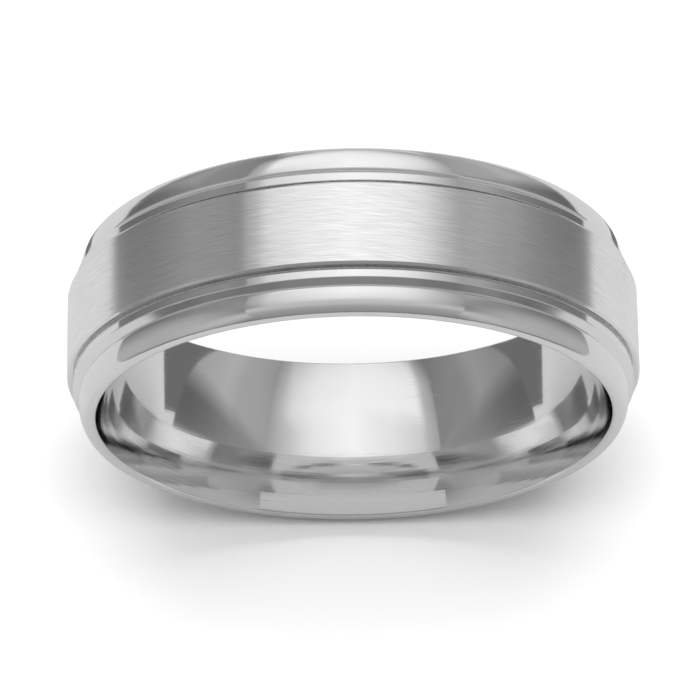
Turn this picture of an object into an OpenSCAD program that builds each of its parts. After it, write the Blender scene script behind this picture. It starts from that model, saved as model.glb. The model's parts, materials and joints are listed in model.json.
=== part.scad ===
// Wedding band with a satin centre and polished stepped edges.
// The band stands on its rim: its axis is Y, +Z is up and the origin is the centre of the bore.
// A comfort-fit liner carries everything. The satin centre band sits on the liner's raised
// register, and an edge ring on each side of it closes the assembly. A fine solder seam fills
// the corner between the centre band and each edge ring.

/* [Band] */
// Bore diameter at the middle of the liner (finger size)
bore_d = 19.8; // [15.7:0.05:24]
// Overall width of the band along the finger
band_w = 7; // [5.8:0.05:10]
// Wall from the bore to the face of the centre band
wall_t = 1.65; // [1.35:0.01:2.2]

/* [Centre band] */
// Thickness of the centre band, from its face down to the liner's register
centre_t = 0.6; // [0.42:0.01:0.75]
// Width of the satin centre band
centre_w = 3.45; // [2:0.05:4.2]
// Polished chamfer on both rims of the centre band
centre_chamfer = 0.08; // [0.02:0.01:0.12]

/* [Edge rings] */
// Height of the step from the centre band down to the shelf
shelf_drop = 0.23; // [0.15:0.01:0.3]
// Width of the shelf, from the centre band to the bevel
shelf_w = 0.48; // [0.3:0.01:0.6]
// Height of the bevel, from the shelf down to the crease
bevel_drop = 0.3; // [0.15:0.01:0.36]
// Width of the bevel along the finger
bevel_w = 0.22; // [0.1:0.01:0.3]
// Rise of the rim's crown above the crease
crown_rise = 0.06; // [0.02:0.005:0.1]
// Distance from the crease to the top of the crown, not less than the rise
crown_w = 0.15; // [0.1:0.01:0.25]
// Height of the rounding from the crown to the side face
edge_round = 0.33; // [0.1:0.01:0.45]

/* [Liner] */
// Width of the liner's flat side face, from the lip out to the edge ring
liner_side = 0.07; // [0.04:0.01:0.12]
// Length of the straight, cylindrical middle of the bore
land_w = 1.2; // [0.6:0.05:2.5]
// Rise of the comfort-fit curve from the straight middle to the side faces
flare = 0.46; // [0.1:0.01:0.5]
// Radius of the rounded lip at each end of the bore
lip_r = 0.1; // [0.05:0.01:0.15]

/* [Solder seams] */
// Width of a solder seam
seam_w = 0.15; // [0.08:0.01:0.25]
// Depth of a solder seam
seam_t = 0.12; // [0.08:0.01:0.15]
// Sink of the seam's face below the shelf
seam_sink = 0.02; // [0.005:0.005:0.04]

/* [Hidden] */

ring_steps = 180;    // sides that a preview draws round the ring
arc_steps = 12;      // straight pieces in each rounded stretch of an outline
side_flat = 0.1;     // least width of an edge ring's flat side face

bore_r = bore_d / 2;
outer_r = bore_r + wall_t;
half_w = band_w / 2;
half_centre = centre_w / 2;
half_land = land_w / 2;

shelf_r = outer_r - shelf_drop;
crease_r = shelf_r - bevel_drop;
crown_r = crease_r + crown_rise;
shelf_end = half_centre + shelf_w;
crease_end = shelf_end + bevel_w;
crown_y = crease_end + crown_w;

// The crown rises from the crease on a circle that is level at the top.
crown_curve_r = (crown_w * crown_w + crown_rise * crown_rise) / (2 * crown_rise);
crown_start = asin(crown_w / crown_curve_r);

seam_top = shelf_r - seam_sink;
seam_bottom = seam_top - seam_t;
seam_end = half_centre + seam_w;

// The comfort-fit curve is one circle, centred on the middle of the band. It passes through
// the end of the straight land and would reach the side face at the height of the flare.
comfort_rise = (flare * flare + half_w * half_w - half_land * half_land) / (2 * flare);
comfort_centre_r = bore_r + comfort_rise;
comfort_curve_r = sqrt(comfort_rise * comfort_rise + half_land * half_land);
land_slope = asin(half_land / comfort_curve_r);

// The lip is a circle that touches the comfort-fit curve and the side face.
lip_y = half_w - lip_r;
lip_slope = asin(lip_y / (comfort_curve_r - lip_r));
lip_centre_r = comfort_centre_r - (comfort_curve_r - lip_r) * cos(lip_slope);

seat_r = lip_centre_r + liner_side;      // seat of the edge rings on the liner
register_r = outer_r - centre_t;         // seat of the centre band on the liner
rounding = min(edge_round, crown_r - seat_r - side_flat);
side_r = crown_r - rounding;             // outer edge of the flat side face

// Points [radius, place along the finger] of an ellipse's arc from angle a0 to a1,
// where 0 points away from the axis of the ring and 90 points along the finger
function arc(cr, cy, rr, ry, a0, a1) =
    [for (i = [0 : arc_steps]) let (a = a0 + (a1 - a0) * i / arc_steps)
        [cr + rr * cos(a), cy + ry * sin(a)]];

// One half of the bore's outline, from the end of the land out to the flat side face
function bore_half() = concat(
    arc(comfort_centre_r, 0, comfort_curve_r, comfort_curve_r, 180 - land_slope, 180 - lip_slope),
    arc(lip_centre_r, lip_y, lip_r, lip_r, 180 - lip_slope, 90));

// The half turned to the other side of the ring, with its points in the opposite order
function mirrored(points) =
    [for (i = [len(points) - 1 : -1 : 0]) [points[i][0], -points[i][1]]];

// Turns an outline of [radius, place along the finger] into a ring about the Y axis
module turned(points) {
    rotate([-90, 0, 0])
        rotate_extrude($fn = ring_steps)
            polygon(points);
}

// Polished sleeve that touches the finger, with a raised register round its middle
module liner() {
    color("gainsboro")
        turned(concat(
            mirrored(bore_half()),
            bore_half(),
            [[seat_r, half_w], [seat_r, half_centre],
             [register_r, half_centre], [register_r, -half_centre],
             [seat_r, -half_centre], [seat_r, -half_w]]));
}

// Raised satin band with a fine polished chamfer on each rim
module centre_band() {
    inner = half_centre - centre_chamfer;
    color("silver")
        turned([
            [register_r, -half_centre], [outer_r - centre_chamfer, -half_centre],
            [outer_r, -inner], [outer_r, inner],
            [outer_r - centre_chamfer, half_centre], [register_r, half_centre]]);
}

// Polished ring with the shelf, the bevel, the crowned rim and the flat side face
module edge_ring() {
    color("lightgray")
        turned(concat(
            [[seat_r, half_centre], [seam_bottom, half_centre],
             [seam_bottom, seam_end], [seam_top, seam_end],
             [shelf_r, seam_end + seam_sink], [shelf_r, shelf_end]],
            arc(crown_r - crown_curve_r, crown_y, crown_curve_r, crown_curve_r, -crown_start, 0),
            arc(side_r, crown_y, rounding, half_w - crown_y, 0, 90),
            [[seat_r, half_w]]));
}

module rear_edge_ring() edge_ring();

module front_edge_ring() mirror([0, 1, 0]) edge_ring();

// Ring of solder in the corner between the centre band and an edge ring
module solder_seam() {
    color("darkgray")
        turned([
            [seam_bottom, half_centre], [seam_top, half_centre],
            [seam_top, seam_end], [seam_bottom, seam_end]]);
}

module rear_solder_seam() solder_seam();

module front_solder_seam() mirror([0, 1, 0]) solder_seam();

liner();
centre_band();
front_edge_ring();
rear_edge_ring();
front_solder_seam();
rear_solder_seam();
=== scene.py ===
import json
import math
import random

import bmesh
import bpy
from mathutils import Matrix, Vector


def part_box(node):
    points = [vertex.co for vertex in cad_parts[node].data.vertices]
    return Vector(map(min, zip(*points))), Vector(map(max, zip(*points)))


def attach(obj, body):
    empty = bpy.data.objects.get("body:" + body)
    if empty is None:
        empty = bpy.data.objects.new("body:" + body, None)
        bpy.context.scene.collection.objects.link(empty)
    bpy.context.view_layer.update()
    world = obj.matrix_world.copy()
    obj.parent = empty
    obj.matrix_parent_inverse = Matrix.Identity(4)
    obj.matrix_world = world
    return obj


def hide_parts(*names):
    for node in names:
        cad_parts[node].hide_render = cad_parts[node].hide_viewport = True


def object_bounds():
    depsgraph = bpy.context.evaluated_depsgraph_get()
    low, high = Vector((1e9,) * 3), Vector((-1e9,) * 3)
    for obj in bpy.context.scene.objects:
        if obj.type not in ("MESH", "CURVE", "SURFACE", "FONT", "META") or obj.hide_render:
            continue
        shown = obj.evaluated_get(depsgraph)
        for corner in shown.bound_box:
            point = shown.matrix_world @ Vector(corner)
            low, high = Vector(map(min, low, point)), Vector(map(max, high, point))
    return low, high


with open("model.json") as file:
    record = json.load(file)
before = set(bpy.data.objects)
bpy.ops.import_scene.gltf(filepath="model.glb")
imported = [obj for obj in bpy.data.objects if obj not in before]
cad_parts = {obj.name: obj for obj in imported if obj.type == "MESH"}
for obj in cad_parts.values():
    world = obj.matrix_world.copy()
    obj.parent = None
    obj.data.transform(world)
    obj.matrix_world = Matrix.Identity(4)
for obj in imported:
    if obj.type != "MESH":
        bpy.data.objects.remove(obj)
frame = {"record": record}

# %% [markdown]
# # A stepped wedding band with a satin centre
#
# A wedding band is a good first lesson in turned work. Each piece is one outline, drawn in a
# plane through the axis and spun once round it. What makes it look real is small: where the
# edges are softened, how the bore is domed, and what the polished metal has to reflect.
#
# The imported CAD model fixes every overall size. Its box is kept here, and the floors are laid
# at its lowest point. Everything below is in metres, the band stands on its rim, and its axis is Y.

cad_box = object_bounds()
MM = 0.001
scene = bpy.context.scene

print("CAD box, mm:", [[round(v / MM, 3) for v in corner] for corner in cad_box])

# %% [markdown]
# ## Sizes that come from the CAD
#
# A node's box gives its outer radius and how far it reaches along the finger, which is all
# that a turned piece needs to line up with its neighbours. The bore's radius comes from the
# stated mount.

# %% Read the radii and the widths
def reach(node):
    """How far a node reaches along the finger, and its outer radius."""
    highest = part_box(node)[1]
    return highest[1], highest[2]


half_centre, outer_r = reach("centre_band")
half_w, register_r = reach("liner")
seam_end, seam_top = reach("rear_solder_seam")
shelf_r = reach("rear_edge_ring")[1]
mounts = {mount["name"]: mount for mount in frame["record"]["mounts"]}
bore_r = mounts["finger_bore"]["dims"]["r_mm"] * MM

print(f"outside {outer_r / MM:.2f}, shelf {shelf_r / MM:.2f}, bore {bore_r / MM:.2f} mm in radius")
print(f"centre band to {half_centre / MM:.3f}, side face at {half_w / MM:.2f} mm along the finger")

# %% [markdown]
# ## The camera
#
# The camera comes first, because every later choice is judged through it. A long lens close
# to 260 mm, 205 mm away and 66.6 degrees above the floor, shows the bore as a flat ellipse
# and keeps the near and far rims almost the same size.

# %% Place the camera
elevation = math.radians(66.63)
roll = math.radians(-0.83)
back = Vector((0, -math.cos(elevation), math.sin(elevation)))
up = Vector((0, math.sin(elevation), math.cos(elevation)))
right = Vector((1, 0, 0))
aim = (right * -0.0105 + up * -0.0304) * outer_r
distance = 17.76 * outer_r

camera = bpy.data.objects.new("camera", bpy.data.cameras.new("camera"))
scene.collection.objects.link(camera)
scene.camera = camera
camera.data.sensor_width = 36
camera.data.lens = 260.5
camera.data.clip_start = 0.005
camera.data.clip_end = 10
camera.matrix_world = Matrix.Translation(aim + back * distance) @ Matrix((
    right * math.cos(roll) + up * math.sin(roll),
    up * math.cos(roll) - right * math.sin(roll),
    back)).transposed().to_4x4()

print(f"camera {distance / MM:.0f} mm away, {math.degrees(elevation):.1f} degrees up")

# %% [markdown]
# ## The studio
#
# Polished metal has hardly any colour of its own, so its picture is a picture of the studio.
# The set is a wide white floor, one long softbox overhead with a dimmer cloth in front of it,
# and dark boards at the sides. The boards make the crisp upright borders on the band, because
# their edges run along its axis. They could be lamps with blockers, but a blocker also throws
# a shadow, and here only the reflection is wanted.
#
# Each light is a sheet that glows by a known amount at every corner. One helper makes them
# all: rows of points, each with its brightness, and the brightness blends from point to point.
# The camera doesn't see the sheets, so a view from any side is clear.

# %% A sheet of light
def glowing(name):
    material = bpy.data.materials.new(name)
    material.use_nodes = True
    nodes, links = material.node_tree.nodes, material.node_tree.links
    nodes.clear()
    brightness = nodes.new("ShaderNodeAttribute")
    brightness.attribute_name = "brightness"
    emission = nodes.new("ShaderNodeEmission")
    output = nodes.new("ShaderNodeOutputMaterial")
    links.new(brightness.outputs["Fac"], emission.inputs["Strength"])
    links.new(emission.outputs["Emission"], output.inputs["Surface"])
    return material


def sheet_of_light(name, rows, lights_floor=True):
    """A sheet through rows of (x, y, z, brightness) points, in units of the outer radius."""
    bm = bmesh.new()
    layer = bm.verts.layers.float.new("brightness")
    grid = []
    for row in rows:
        grid.append([bm.verts.new(Vector(point[:3]) * outer_r) for point in row])
        for vert, point in zip(grid[-1], row):
            vert[layer] = point[3]
    for one, two in zip(grid, grid[1:]):
        for i in range(len(one) - 1):
            bm.faces.new((one[i], one[i + 1], two[i + 1], two[i]))
    mesh = bpy.data.meshes.new(name)
    bm.to_mesh(mesh)
    bm.free()
    mesh.materials.append(glowing(name))
    sheet = bpy.data.objects.new(name, mesh)
    scene.collection.objects.link(sheet)
    sheet.visible_camera = False
    sheet.visible_shadow = False
    sheet.visible_diffuse = lights_floor
    print(f"{name}: {len(mesh.polygons)} panels")


# %% [markdown]
# The softbox hangs 12 ring radii up. Its rows follow the angle towards the back, and its
# stops follow the angle to the side, because that is how the turned faces sweep over it: the
# steep left border makes the crisp edge in the bore, and the soft right one fades slowly.
# The cloth starts where the softbox ends and comes forward. The camera looks through it.

# %% The softbox and the cloth in front of it
height = 12
left_edge, right_edge = -42, 44


def tan(degrees):
    return math.tan(math.radians(degrees))


across = (left_edge, -36.5, -33, -20, 0, 20, 26, 32, 38, right_edge)
softbox_rows = (
    (0, (0.28, 0.42, 0.58, 0.78, 0.90, 0.80, 0.68, 0.54, 0.42, 0.30)),
    (16, (0.44, 0.58, 0.76, 0.96, 1.16, 1.00, 0.86, 0.68, 0.54, 0.40)),
    (27, (0.44, 0.58, 0.78, 0.96, 1.16, 1.02, 0.88, 0.68, 0.54, 0.40)),
    (37, (0.40, 0.58, 1.05, 1.10, 1.14, 1.06, 0.98, 0.88, 0.58, 0.38)),
    (50, (0.36, 0.56, 1.02, 1.08, 1.10, 1.00, 0.92, 0.82, 0.54, 0.36)),
    (65, (0.14, 0.24, 0.42, 0.78, 0.95, 0.75, 0.62, 0.52, 0.42, 0.30)),
    (75, (0.15, 0.20, 0.30, 0.55, 0.70, 0.55, 0.45, 0.38, 0.30, 0.25)))
cloth_rows = ((-0.2, 0.60), (-6, 0.62), (-13, 0.58), (-18, 0.44), (-35, 0.36), (-60, 0.33))

sheet_of_light("softbox", [
    [(height * tan(a), height * tan(b), height, level) for a, level in zip(across, levels)]
    for b, levels in softbox_rows])
sheet_of_light("front_cloth", [
    [(height * tan(a), height * tan(b), height, level) for a in (left_edge, 0, right_edge)]
    for b, level in cloth_rows])

# %% [markdown]
# The boards lean outwards, from the floor up to the softbox's edges. A board has a base
# brightness that grows with height, and a change along the axis. In front of the band it
# stands closer in and stays dark low down, for the grey of the near bevel. Beside the band it
# is lighter, and the extra light fades with height. Just behind the band it is dark, for the
# satin face and the shelves. Further back two more values take over, one low down and one high
# up, so that the right side comes out a little lighter than the left. The far end is light.

# %% How bright a board is
base_glow = ((12, 0.36), (3.85, 0.31), (2.1, 0.26), (0.91, 0.21), (-0.4, 0.17), (-1.0, 0.17))
glow_along = (
    (-20, -0.04), (-11, -0.02), (-7, 0.16), (-4, 0.26), (-1, 0.28), (0.4, 0.26), (1.4, 0.14), (1.9, 0.0),
    (2.6, -0.02), (3.4, -0.02), (5, 0.0), (10, 0.0), (18, -0.04), (24, -0.04), (30, 0.30), (44, 0.35))
front_ends, floor_glow_ends, beside_ends, back_starts = -3, 1, 2, 4
low_down = 0.5
floor_glow = 0.06
darkest = 0.13


def fading(z, full, gone):
    """1 up to the height called full, then less and less: 0 at the height called gone."""
    return min((gone - z) / (gone - full), 1)


def board_glow(y, z, level, more, low_behind, high_behind):
    """Brightness of a board at y along the axis and z above it, in outer radii."""
    if y < front_ends:
        return level if z < low_down else level + more
    if y < beside_ends:
        bounce = floor_glow if z < low_down and y < floor_glow_ends else 0
        return level + more * fading(z, full=1, gone=9) + bounce
    if y < back_starts:
        return level + more
    low_share = max(fading(z, full=2, gone=5), 0)
    return level + more + (high_behind + (low_behind - high_behind) * low_share)


print("board heights:", len(base_glow), "and places along:", len(glow_along))

# %% [markdown]
# A low dark strip stands on the floor behind each side of the ring. It is painted shade: a dim
# sheet that stands in for the shaded floor there. The bore shows it as the dark patch under its
# bright lower corners, and the far shoulders catch a small mark of it too.
#
# The boards, the strips and the walls don't light the floor, or it would turn grey near them.

# %% The boards and the strips of painted floor shade
side_x = 4.9
strip_ends = ((0.24, 1.22, 0.38), (1.6, 0.84, 0.29))
# The strips of painted shade glow dimly, like shaded floor.
strip_foot, shade_strip_glow = -0.997, 0.18


def board(name, side, edge, front_x, low_behind, high_behind):
    """A side board. Its front part stands front_x out at the floor, and the rest side_x."""
    top = height * tan(edge)
    rows = []
    for y, more in glow_along:
        foot_x = front_x if y < front_ends else side_x
        row = []
        for z, level in base_glow:
            x = side * (foot_x + (z + 1) * (top - foot_x) / (height + 1))
            glow = board_glow(y, z, level, more, low_behind, high_behind)
            row.append((x, y, z, max(glow, darkest)))
        rows.append(row)
    sheet_of_light(name, rows, lights_floor=False)


# A strip of painted shade: a dim sheet in place of the shaded floor behind the ring.
def floor_shade_strip(name, side):
    sheet_of_light(name, [
        [(side * x, y, strip_foot + share * tall, shade_strip_glow) for x, y, tall in strip_ends]
        for share in (0, 1)], lights_floor=False)


board("left_board", -1, -left_edge, front_x=3.9, low_behind=0.13, high_behind=-0.09)
floor_shade_strip("left_painted_floor_shade", -1)
board("right_board", 1, right_edge, front_x=3.4, low_behind=0.28, high_behind=0.06)
floor_shade_strip("right_painted_floor_shade", 1)

# %% [markdown]
# Two walls close the set, so that the metal finds something to reflect at low angles: a light
# one behind, and a dark one in front.

# %% The walls behind and in front
def wall(name, y, half_width, rows):
    sheet_of_light(name, [[(x, y, z, level) for z, level in rows] for x in (-half_width, half_width)],
                   lights_floor=False)


wall("back_wall", 45, 45, ((-1, 0.6), (12, 0.6)))
wall("front_wall", -21, 30, ((-1, 0.18), (4, 0.28), (12, 0.33)))

# %% [markdown]
# A floor that looks white would throw a white glare into every low face of the metal. So two
# floors are laid: the camera sees a white one, and the metal sees a greyer one, a hair above
# it.

# %% The two floors
floor_radius, floor_corners = 1.2, 96
floor_lift = 0.02 * MM


def paper_disc(name, grey, lift=0.0):
    mesh = bpy.data.meshes.new(name)
    bm = bmesh.new()
    bmesh.ops.create_circle(bm, cap_ends=True, radius=floor_radius, segments=floor_corners,
                            matrix=Matrix.Translation((0, 0, cad_box[0][2] + lift)))
    bm.to_mesh(mesh)
    bm.free()
    disc = bpy.data.objects.new(name, mesh)
    scene.collection.objects.link(disc)
    paper = bpy.data.materials.new(name)
    paper.use_nodes = True
    shader = paper.node_tree.nodes["Principled BSDF"]
    shader.inputs["Base Color"].default_value = (grey, grey, grey, 1)
    shader.inputs["Roughness"].default_value = 0.9
    shader.inputs["Specular IOR Level"].default_value = 0.0
    mesh.materials.append(paper)
    print(f"{name}: {floor_radius:.1f} m in radius, grey {grey}")
    return disc


floor = paper_disc("floor", 0.9)
floor.visible_glossy = False
reflected_floor = paper_disc("reflected_floor", 0.52, floor_lift)
reflected_floor.visible_camera = False
reflected_floor.visible_diffuse = False
reflected_floor.visible_shadow = False

# %% [markdown]
# The room beyond the set is white to the camera, and dim to everything else. A wide lamp
# almost straight overhead lights both floors and gives the soft shadow: a smaller one would
# draw a hard edge. Neither the camera nor the metal sees the lamp.

# %% The room and the fill lamp
room_dim, room_seen = 0.38, 1.0

world = bpy.data.worlds.new("room")
scene.world = world
world.use_nodes = True
nodes, links = world.node_tree.nodes, world.node_tree.links
room = nodes["Background"]
seen = nodes.new("ShaderNodeLightPath")
mix = nodes.new("ShaderNodeMix")
links.new(seen.outputs["Is Camera Ray"], mix.inputs["Factor"])
mix.inputs["A"].default_value = room_dim
mix.inputs["B"].default_value = room_seen
room.inputs["Color"].default_value = (1, 1, 1, 1)
links.new(mix.outputs["Result"], room.inputs["Strength"])

fill = bpy.data.objects.new("fill_lamp", bpy.data.lights.new("fill_lamp", "AREA"))
scene.collection.objects.link(fill)
fill.data.shape = "RECTANGLE"
fill.data.size = 0.22
fill.data.size_y = 0.20
fill.data.energy = 1.08
fill.location = (0, 0.016, 0.24)
fill.rotation_euler = (math.radians(-3), 0, 0)
fill.visible_glossy = False
fill.visible_camera = False

scene.view_settings.view_transform = "Standard"
print(f"lamp {fill.location.z / MM:.0f} mm up, {fill.data.energy:.2f} W")

# %% [markdown]
# ## Turning a ring
#
# Every piece of the band is turned, so one function makes them all. It takes a closed outline
# of radius and place along the finger, and spins it a full turn about Y. The outline's own
# corners are softened first: a corner without a small round has no highlight, and it is the
# first thing that gives a computer model away.
#
# Between two rounds the outline gets a point a hair from each. The blended shading of a round
# then stops there, instead of bleeding across the flat beside it.

# %% Outline helpers
HAIR = 0.008 * MM
ROUND_STEPS = 6
MOST_OF_A_SIDE = 0.45
LONG_ENOUGH = 0.05 * MM


def arc(cr, cy, rr, ry, a0, a1, pieces):
    """Points of an ellipse's arc: 0 degrees is away from the axis, 90 along the finger."""
    angles = [math.radians(a0 + (a1 - a0) * i / pieces) for i in range(pieces + 1)]
    return [(cr + rr * math.cos(angle), cy + ry * math.sin(angle)) for angle in angles]


def softened(corners):
    """Rounds each (radius, along, round) corner of a closed outline whose round isn't 0."""
    points = []
    for i, (r, y, size) in enumerate(corners):
        here = Vector((r, y))
        if not size:
            points.append(here)
            continue
        before = Vector(corners[i - 1][:2]) - here
        after = Vector(corners[(i + 1) % len(corners)][:2]) - here
        half = before.angle(after) / 2
        longest = min(before.length * MOST_OF_A_SIDE, after.length * MOST_OF_A_SIDE)
        cut = min(size / math.tan(half), longest)
        start, end = here + before.normalized() * cut, here + after.normalized() * cut
        middle = here + (before.normalized() + after.normalized()).normalized() * cut / math.cos(half)
        a, b = start - middle, end - middle
        turn = a.angle_signed(b)
        for k in range(ROUND_STEPS + 1):
            points.append(middle + Matrix.Rotation(-turn * k / ROUND_STEPS, 2) @ a)
    return [tuple(p) for p in points]


def held(points):
    """Adds a point a hair from both ends of every long straight piece of a closed outline."""
    out = []
    for i, p in enumerate(points):
        a, b = Vector(p), Vector(points[(i + 1) % len(points)])
        out.append(tuple(a))
        if (b - a).length > LONG_ENOUGH:
            step = (b - a).normalized() * HAIR
            out += [tuple(a + step), tuple(b - step)]
    return out


def mirrored(outline):
    return [(r, -y) for r, y in reversed(outline)]


print(f"each round has {ROUND_STEPS} steps, and a hair is {HAIR / MM:.3f} mm")

# %% [markdown]
# The spin closes on itself with its last ring of points merged into its first.

# %% Spin an outline
RING_STEPS = 400


def turned(name, outline, replaced):
    """Spins an outline about Y, and hides the CAD node that it stands for."""
    bm = bmesh.new()
    verts = [bm.verts.new((0, y, r)) for r, y in outline]
    edges = [bm.edges.new((a, b)) for a, b in zip(verts, verts[1:] + verts[:1])]
    bmesh.ops.spin(bm, geom=verts + edges, axis=(0, 1, 0), cent=(0, 0, 0),
                   angle=math.tau, steps=RING_STEPS, use_merge=True)
    bmesh.ops.recalc_face_normals(bm, faces=bm.faces)
    for face in bm.faces:
        face.smooth = True
    mesh = bpy.data.meshes.new(name)
    bm.to_mesh(mesh)
    bm.free()
    piece = bpy.data.objects.new(name, mesh)
    scene.collection.objects.link(piece)
    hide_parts(replaced)
    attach(piece, "root")
    print(f"{name}: {len(outline)} outline points, {len(mesh.polygons)} faces")
    return piece


# %% [markdown]
# ## The liner
#
# The liner is the sleeve that touches the finger. Its bore is domed all the way across, which
# jewellers call a comfort fit: the band rolls over the knuckle and shows a curved, bright
# inside. It could be a plain tube with bevelled ends, but a flat bore shows one flat band of
# light. So the dome is drawn as one arc of 12.5 mm radius, and a small lip joins it to the side
# face. The liner's outer faces stand two microns inside the pieces that sit on it.

# %% Draw and spin the liner
dome = 12.5 * MM
lip = 0.10 * MM
seat_r = 10.5 * MM
clearance = 0.002 * MM
dome_steps, lip_steps = 24, 8

lip_y = half_w - lip
slope = math.degrees(math.asin(lip_y / (dome - lip)))
lip_r = bore_r + dome - (dome - lip) * math.cos(math.radians(slope))
bore_side = (arc(bore_r + dome, 0, dome, dome, 180, 180 - slope, dome_steps)
             + arc(lip_r, lip_y, lip, lip, 180 - slope, 90, lip_steps)[1:])
low, high = seat_r - clearance, register_r - clearance
liner_outline = mirrored(bore_side)[:-1] + bore_side + [
    (low, half_w), (low, half_centre), (high, half_centre),
    (high, -half_centre), (low, -half_centre), (low, -half_w)]
liner = turned("comfort_fit_liner", held(liner_outline), "liner")

# %% [markdown]
# ## The satin centre band
#
# The centre band stands 0.23 mm above the shelves beside it. Its face is straight, so that
# the satin finish reads evenly, and both of its rims carry a narrow polished chamfer that
# catches a thin bright line. A Bevel modifier could cut that chamfer. Here it is drawn in the
# outline, so that it has faces of its own, which can be polished later.

# %% Draw and spin the centre band
chamfer = 0.08 * MM
soft = 0.02 * MM
centre_outline = softened([
    (register_r, -half_centre, 0), (outer_r - chamfer, -half_centre, soft),
    (outer_r, -half_centre + chamfer, soft), (outer_r, half_centre - chamfer, soft),
    (outer_r - chamfer, half_centre, soft), (register_r, half_centre, 0)])
centre_band = turned("satin_centre_band", held(centre_outline), "centre_band")
print(f"the centre band stands {(outer_r - shelf_r) / MM:.2f} mm above the shelves")

# %% [markdown]
# ## The edge rings
#
# Each edge ring steps down from the centre band in three moves: a flat shelf, a short bevel
# and a crowned rim. Seen from above the crown is one of the brightest lines of the band, and
# the crease under the bevel is one of the darkest, so the crease stays nearly sharp. The steps
# could be cut out of a tube one by one, but in a single outline each starts exactly where the
# one before it ends. The far ring is drawn, and the near one is its mirror image.

# %% Draw and spin the edge rings
shelf_w = 0.48 * MM
bevel_w, bevel_drop = 0.22 * MM, 0.30 * MM
crown_w, crown_rise = 0.15 * MM, 0.06 * MM
edge_round = 0.33 * MM
seam_depth = 0.12 * MM
seam_corner, shelf_corner, crease_corner = 0.01 * MM, 0.05 * MM, 0.012 * MM
crown_steps, rim_steps = 8, 20

sink = shelf_r - seam_top
seam_low = seam_top - seam_depth
shelf_end = half_centre + shelf_w
crease_r, crease_end = shelf_r - bevel_drop, shelf_end + bevel_w
crown_r, crown_y = crease_r + crown_rise, crease_end + crown_w
crown_curve = (crown_w ** 2 + crown_rise ** 2) / (2 * crown_rise)
crown_turn = math.degrees(math.asin(crown_w / crown_curve))

step = softened([
    (seat_r, half_centre, 0), (seam_low, half_centre, 0), (seam_low, seam_end, 0),
    (seam_top, seam_end, 0), (shelf_r, seam_end + sink, seam_corner),
    (shelf_r, shelf_end, shelf_corner), (crease_r, crease_end, crease_corner),
    (crown_r, crown_y, 0)])[:-1]
rim = (arc(crown_r - crown_curve, crown_y, crown_curve, crown_curve, -crown_turn, 0, crown_steps)[1:]
       + arc(crown_r - edge_round, crown_y, edge_round, half_w - crown_y, 0, 90, rim_steps)[1:])
edge_outline = step + rim + [(seat_r, half_w)]
rear_edge = turned("rear_polished_edge", held(edge_outline), "rear_edge_ring")
front_edge = turned("front_polished_edge", held(mirrored(edge_outline)), "front_edge_ring")

# %% [markdown]
# ## The solder seams
#
# A seam is drawn as a narrow bead in the corner of each step. Solder flows, so its crest isn't
# perfectly even. A bump in the material could fake that, but the bead is seen edge on, where
# only a real shape shows. So after the spin the points on the crest are nudged by a few
# microns. The nudge is a sum of waves round the ring, drawn with a fixed seed, so it is the
# same in each run.

# %% Draw and spin the solder seams
# Share of the way across the seam, and height from its top in mm.
crest = ((0, -0.060), (0.22, -0.058), (0.34, -0.030), (0.48, -0.008), (0.60, -0.008),
         (0.74, -0.030), (0.84, -0.055), (1, -0.057))
crest_depth = 0.035 * MM
wave_count, wave_height, highest_lump = 6, 0.0022 * MM, 0.006 * MM


def seam(name, side, replaced, seed):
    across = seam_end - half_centre
    outline = [(seam_low, half_centre)]
    outline += [(seam_top + z * MM, half_centre + share * across) for share, z in crest]
    outline += [(seam_low, seam_end)]
    if side < 0:
        outline = mirrored(outline)
    piece = turned(name, outline, replaced)
    chance = random.Random(seed)
    waves = [(chance.choice((23, 41, 67, 97, 131)) + chance.randint(0, 9), chance.uniform(0, math.tau))
             for _ in range(wave_count)]
    for vert in piece.data.vertices:
        r, angle = math.hypot(vert.co.x, vert.co.z), math.atan2(vert.co.x, vert.co.z)
        if r > seam_top - crest_depth:
            lump = sum(math.sin(n * angle + phase) for n, phase in waves) * wave_height
            nudge = (r + min(lump, highest_lump)) / r
            vert.co.x *= nudge
            vert.co.z *= nudge
    return piece


rear_seam = seam("rear_solder_bead", 1, "rear_solder_seam", 3)
front_seam = seam("front_solder_bead", -1, "front_solder_seam", 8)

# %% [markdown]
# ## Shared patterns
#
# Two patterns serve the materials. Both start from the object's own coordinates, so they stay
# put whichever way the band turns. Each is a node group, built once from a few small helpers:
# a group takes the coordinates in and puts out plain values.

# %% Node helpers
def add(tree, kind, **settings):
    new = tree.nodes.new(kind)
    for key, value in settings.items():
        setattr(new, key, value)
    return new


def math_node(tree, operation, a, b):
    new = add(tree, "ShaderNodeMath", operation=operation)
    for socket, value in zip(new.inputs, (a, b)):
        if isinstance(value, (int, float)):
            socket.default_value = value
        else:
            tree.links.new(value, socket)
    return new.outputs[0]


def ranged(tree, value, from_min, from_max, to_min, to_max):
    new = add(tree, "ShaderNodeMapRange")
    tree.links.new(value, new.inputs["Value"])
    ends = {"From Min": from_min, "From Max": from_max, "To Min": to_min, "To Max": to_max}
    for key, number in ends.items():
        new.inputs[key].default_value = number
    return new.outputs["Result"]


def noise(tree, vector, scale, detail, roughness=0.5):
    new = add(tree, "ShaderNodeTexNoise")
    tree.links.new(vector, new.inputs["Vector"])
    new.inputs["Scale"].default_value = scale
    new.inputs["Detail"].default_value = detail
    new.inputs["Roughness"].default_value = roughness
    return new.outputs["Fac"]


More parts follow.
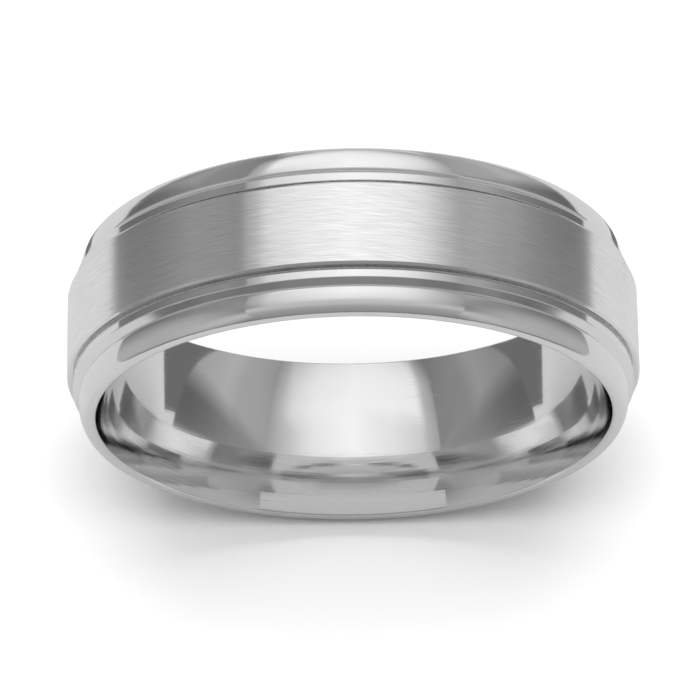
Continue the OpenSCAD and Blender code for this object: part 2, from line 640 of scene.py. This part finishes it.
def pattern(name, values):
    """Starts a node group. Gives its tree, its coordinates and its output sockets."""
    tree = bpy.data.node_groups.new(name, "ShaderNodeTree")
    tree.interface.new_socket("Vector", in_out="INPUT", socket_type="NodeSocketVector")
    for value in values:
        tree.interface.new_socket(value, in_out="OUTPUT", socket_type="NodeSocketFloat")
    source = add(tree, "NodeGroupInput").outputs["Vector"]
    return tree, source, add(tree, "NodeGroupOutput").inputs


print("node helpers: add, math_node, ranged, noise, pattern")

# %% [markdown]
# The satin strokes need a coordinate that runs round the ring: the angle about Y times the
# outer radius. Noise that is stretched along it, in three lengths and at three small slants,
# gives short crossing strokes like those of an abrasive pad. A painted picture of strokes
# would repeat, and show where its two ends meet. A slow drift keeps the strokes from running
# perfectly straight.

# %% The satin strokes
def stroke_layer(tree, around, along, drift, length, width, slant, shift):
    """Noise drawn out round the ring. Slant is how far a stroke climbs along the finger for
    each metre that it runs round the ring."""
    climbed = math_node(tree, "ADD", along, math_node(tree, "MULTIPLY", around, slant))
    joined = add(tree, "ShaderNodeCombineXYZ")
    tree.links.new(math_node(tree, "MULTIPLY", around, 1 / length), joined.inputs["X"])
    tree.links.new(math_node(tree, "MULTIPLY", math_node(tree, "ADD", climbed, drift), 1 / width),
                   joined.inputs["Y"])
    joined.inputs["Z"].default_value = shift
    return noise(tree, joined.outputs[0], 1, 2)


drift_size, drift_reach = 9 * MM, 0.5 * MM
patch_size = 3.2 * MM

strokes, source, stroke_values = pattern("satin_strokes", ("Strokes", "Patches"))
split = add(strokes, "ShaderNodeSeparateXYZ")
strokes.links.new(source, split.inputs[0])
around = math_node(strokes, "MULTIPLY",
                   math_node(strokes, "ARCTAN2", split.outputs["X"], split.outputs["Z"]), outer_r)
along = split.outputs["Y"]
wander = math_node(strokes, "SUBTRACT", noise(strokes, source, 1 / drift_size, 1), 0.5)
drift = math_node(strokes, "MULTIPLY", wander, drift_reach)
first = stroke_layer(strokes, around, along, drift, 1.5 * MM, 0.024 * MM, 0.05, 0)
second = stroke_layer(strokes, around, along, drift, 1.0 * MM, 0.022 * MM, 0.15, 31.7)
third = stroke_layer(strokes, around, along, drift, 2.2 * MM, 0.036 * MM, -0.03, 77.1)
total = math_node(strokes, "ADD", math_node(strokes, "ADD", first, second), third)
strokes.links.new(math_node(strokes, "DIVIDE", total, 3), stroke_values["Strokes"])
strokes.links.new(noise(strokes, source, 1 / patch_size, 2), stroke_values["Patches"])
print("satin strokes:", len(strokes.nodes), "nodes")

# %% [markdown]
# The marks of wear on the polish are hairline scratches, soft haze and the buffing wheel's
# wave. Scratches could be modelled as grooves, but they are far too fine for that. Here a
# scratch is the thin top of a noise that is stretched one way, and three directions are laid
# over each other.

# %% The marks of wear on polish
# Tilt and turn in degrees, then length and width in mm.
scratch_sets = ((8, 4, 2.2, 0.030), (-14, 63, 1.6, 0.026), (24, 118, 1.9, 0.022))
scratch_starts, scratch_full = 0.70, 0.78
haze_size, wave_size = 2.4 * MM, 5.0 * MM

wear, source, wear_values = pattern("polish_marks", ("Scratches", "Haze", "Waves"))
lines = None
for tilt, turn, length, width in scratch_sets:
    turned_by = add(wear, "ShaderNodeMapping", vector_type="POINT")
    wear.links.new(source, turned_by.inputs["Vector"])
    turned_by.inputs["Rotation"].default_value = [math.radians(a) for a in (tilt, turn, tilt)]
    turned_by.inputs["Scale"].default_value = [1 / (size * MM) for size in (length, width, length)]
    fine = ranged(wear, noise(wear, turned_by.outputs[0], 1, 1), scratch_starts, scratch_full, 0, 1)
    lines = fine if lines is None else math_node(wear, "MAXIMUM", lines, fine)
wear.links.new(lines, wear_values["Scratches"])
wear.links.new(noise(wear, source, 1 / haze_size, 3), wear_values["Haze"])
wear.links.new(noise(wear, source, 1 / wave_size, 1), wear_values["Waves"])
print("marks of wear:", len(wear.nodes), "nodes")

# %% [markdown]
# ## The metals
#
# The band is one white metal, and its solder is a slightly darker one. What differs is the
# surface, so a few helpers lay the patterns on a metal: as a shade, as a bump, or as a grain
# that blurs what the metal reflects in one direction only.

# %% Helpers for the metals
def metal(name):
    material = bpy.data.materials.new(name)
    material.use_nodes = True
    shader = material.node_tree.nodes["Principled BSDF"]
    shader.inputs["Metallic"].default_value = 1.0
    return material, material.node_tree, shader


def shared(tree, group):
    coordinates = add(tree, "ShaderNodeTexCoord")
    used = add(tree, "ShaderNodeGroup", node_tree=group)
    tree.links.new(coordinates.outputs["Object"], used.inputs["Vector"])
    return used.outputs


def toned(tree, shader, value, low, high):
    """Turns a 0 to 1 value into a grey between low and high for the base colour."""
    grey = add(tree, "ShaderNodeCombineColor")
    level = ranged(tree, value, 0, 1, low, high)
    for channel in grey.inputs[:3]:
        tree.links.new(level, channel)
    tree.links.new(grey.outputs[0], shader.inputs["Base Color"])


def bumped(tree, shader, height, distance, strength, before=None):
    bump = add(tree, "ShaderNodeBump")
    bump.inputs["Distance"].default_value = distance
    bump.inputs["Strength"].default_value = strength
    tree.links.new(height, bump.inputs["Height"])
    if before is not None:
        tree.links.new(before, bump.inputs["Normal"])
    tree.links.new(bump.outputs["Normal"], shader.inputs["Normal"])
    return bump.outputs["Normal"]


def grained(tree, shader, amount):
    """Blurs what the metal reflects across the band, and keeps it sharp round the ring."""
    shader.inputs["Anisotropic"].default_value = amount
    shader.inputs["Anisotropic Rotation"].default_value = 0.25
    around = add(tree, "ShaderNodeTangent", direction_type="RADIAL", axis="Y")
    tree.links.new(around.outputs[0], shader.inputs["Tangent"])


print("metal helpers: metal, shared, toned, bumped, grained")

# %% [markdown]
# The polished pieces carry the fine turning of the lathe under their polish, so what they
# reflect stays sharp round the ring and softens a little across it. Over that lie a faint wave
# from the buffing wheel, soft haze and a few hairline scratches.

# %% The polished metals
scratch_rough = 0.10
scratch_depth, scratch_strength = 0.0006 * MM, 0.6


def polished(name, low, high, smooth, rough, grain, wave):
    material, tree, shader = metal(name)
    grained(tree, shader, grain)
    marks = shared(tree, wear)
    toned(tree, shader, marks["Haze"], low, high)
    haze = ranged(tree, marks["Haze"], 0.3, 0.7, smooth, rough)
    scratched = math_node(tree, "MULTIPLY", marks["Scratches"], scratch_rough)
    tree.links.new(math_node(tree, "ADD", haze, scratched), shader.inputs["Roughness"])
    waves = bumped(tree, shader, marks["Waves"], wave, 1.0)
    bumped(tree, shader, marks["Scratches"], scratch_depth, scratch_strength, waves)
    print(f"{name}: roughness {smooth} to {rough}")
    return material


liner_polish = polished("polished_liner", low=0.74, high=0.80, smooth=0.045, rough=0.085,
                        grain=0.5, wave=0.004 * MM)
edge_polish = polished("polished_edge", low=0.76, high=0.82, smooth=0.07, rough=0.12,
                       grain=0.9, wave=0.003 * MM)

# %% [markdown]
# The satin face is rougher across its strokes, which is why the borders that it reflects are
# crisp round the ring and gone across it. The strokes change its shade and its height too.

# %% The satin metal
stroke_low, stroke_high = 0.38, 0.62
dark_stroke, bright_stroke = 0.71, 0.94
dull_stroke, shiny_stroke = 0.21, 0.15
patch_rough = 0.05
stroke_depth, stroke_strength = 0.002 * MM, 0.6

satin, tree, shader = metal("satin_centre")
brushed = shared(tree, strokes)
toned(tree, shader, ranged(tree, brushed["Strokes"], stroke_low, stroke_high, 0, 1),
      dark_stroke, bright_stroke)
uneven = math_node(tree, "SUBTRACT", brushed["Patches"], 0.5)
patchy = math_node(tree, "MULTIPLY", uneven, patch_rough)
brushed_rough = ranged(tree, brushed["Strokes"], stroke_low, stroke_high, dull_stroke, shiny_stroke)
tree.links.new(math_node(tree, "ADD", brushed_rough, patchy), shader.inputs["Roughness"])
grained(tree, shader, 1.0)
bumped(tree, shader, brushed["Strokes"], stroke_depth, stroke_strength)
print(f"satin: roughness about {shiny_stroke} to {dull_stroke}")

# %% [markdown]
# The solder is softer and stays unpolished, so it is greyer, dull and a little pitted. The pits
# are one fine noise, kept in this material, because no other metal uses it.

# %% The solder
pit_size, pit_depth, pit_strength = 0.09 * MM, 0.02 * MM, 0.6

solder, tree, shader = metal("solder")
pits = noise(tree, add(tree, "ShaderNodeTexCoord").outputs["Object"], 1 / pit_size, 3, 0.6)
toned(tree, shader, ranged(tree, pits, 0.35, 0.65, 0, 1), 0.58, 0.76)
tree.links.new(ranged(tree, pits, 0.3, 0.7, 0.5, 0.25), shader.inputs["Roughness"])
bumped(tree, shader, pits, pit_depth, pit_strength)
print(f"solder: pits of {pit_size / MM:.2f} mm")

# %% [markdown]
# ## Dressing the pieces
#
# Each piece takes its metal. The centre band takes two: satin on its face, and polish on the
# faces that turn towards the edges of the band.

# %% Give each piece its metal
for piece, materials in ((liner, [liner_polish]), (rear_edge, [edge_polish]),
                         (front_edge, [edge_polish]), (rear_seam, [solder]),
                         (front_seam, [solder]), (centre_band, [satin, edge_polish])):
    for material in materials:
        piece.data.materials.append(material)
    print(piece.name, "has", ", ".join(m.name for m in materials))

# %% Polish the chamfers of the centre band
steep = 0.3
bright = 0
for face in centre_band.data.polygons:
    if abs(face.normal.y) > steep:
        face.material_index = 1
        bright += 1
print("polished faces on the centre band:", bright)
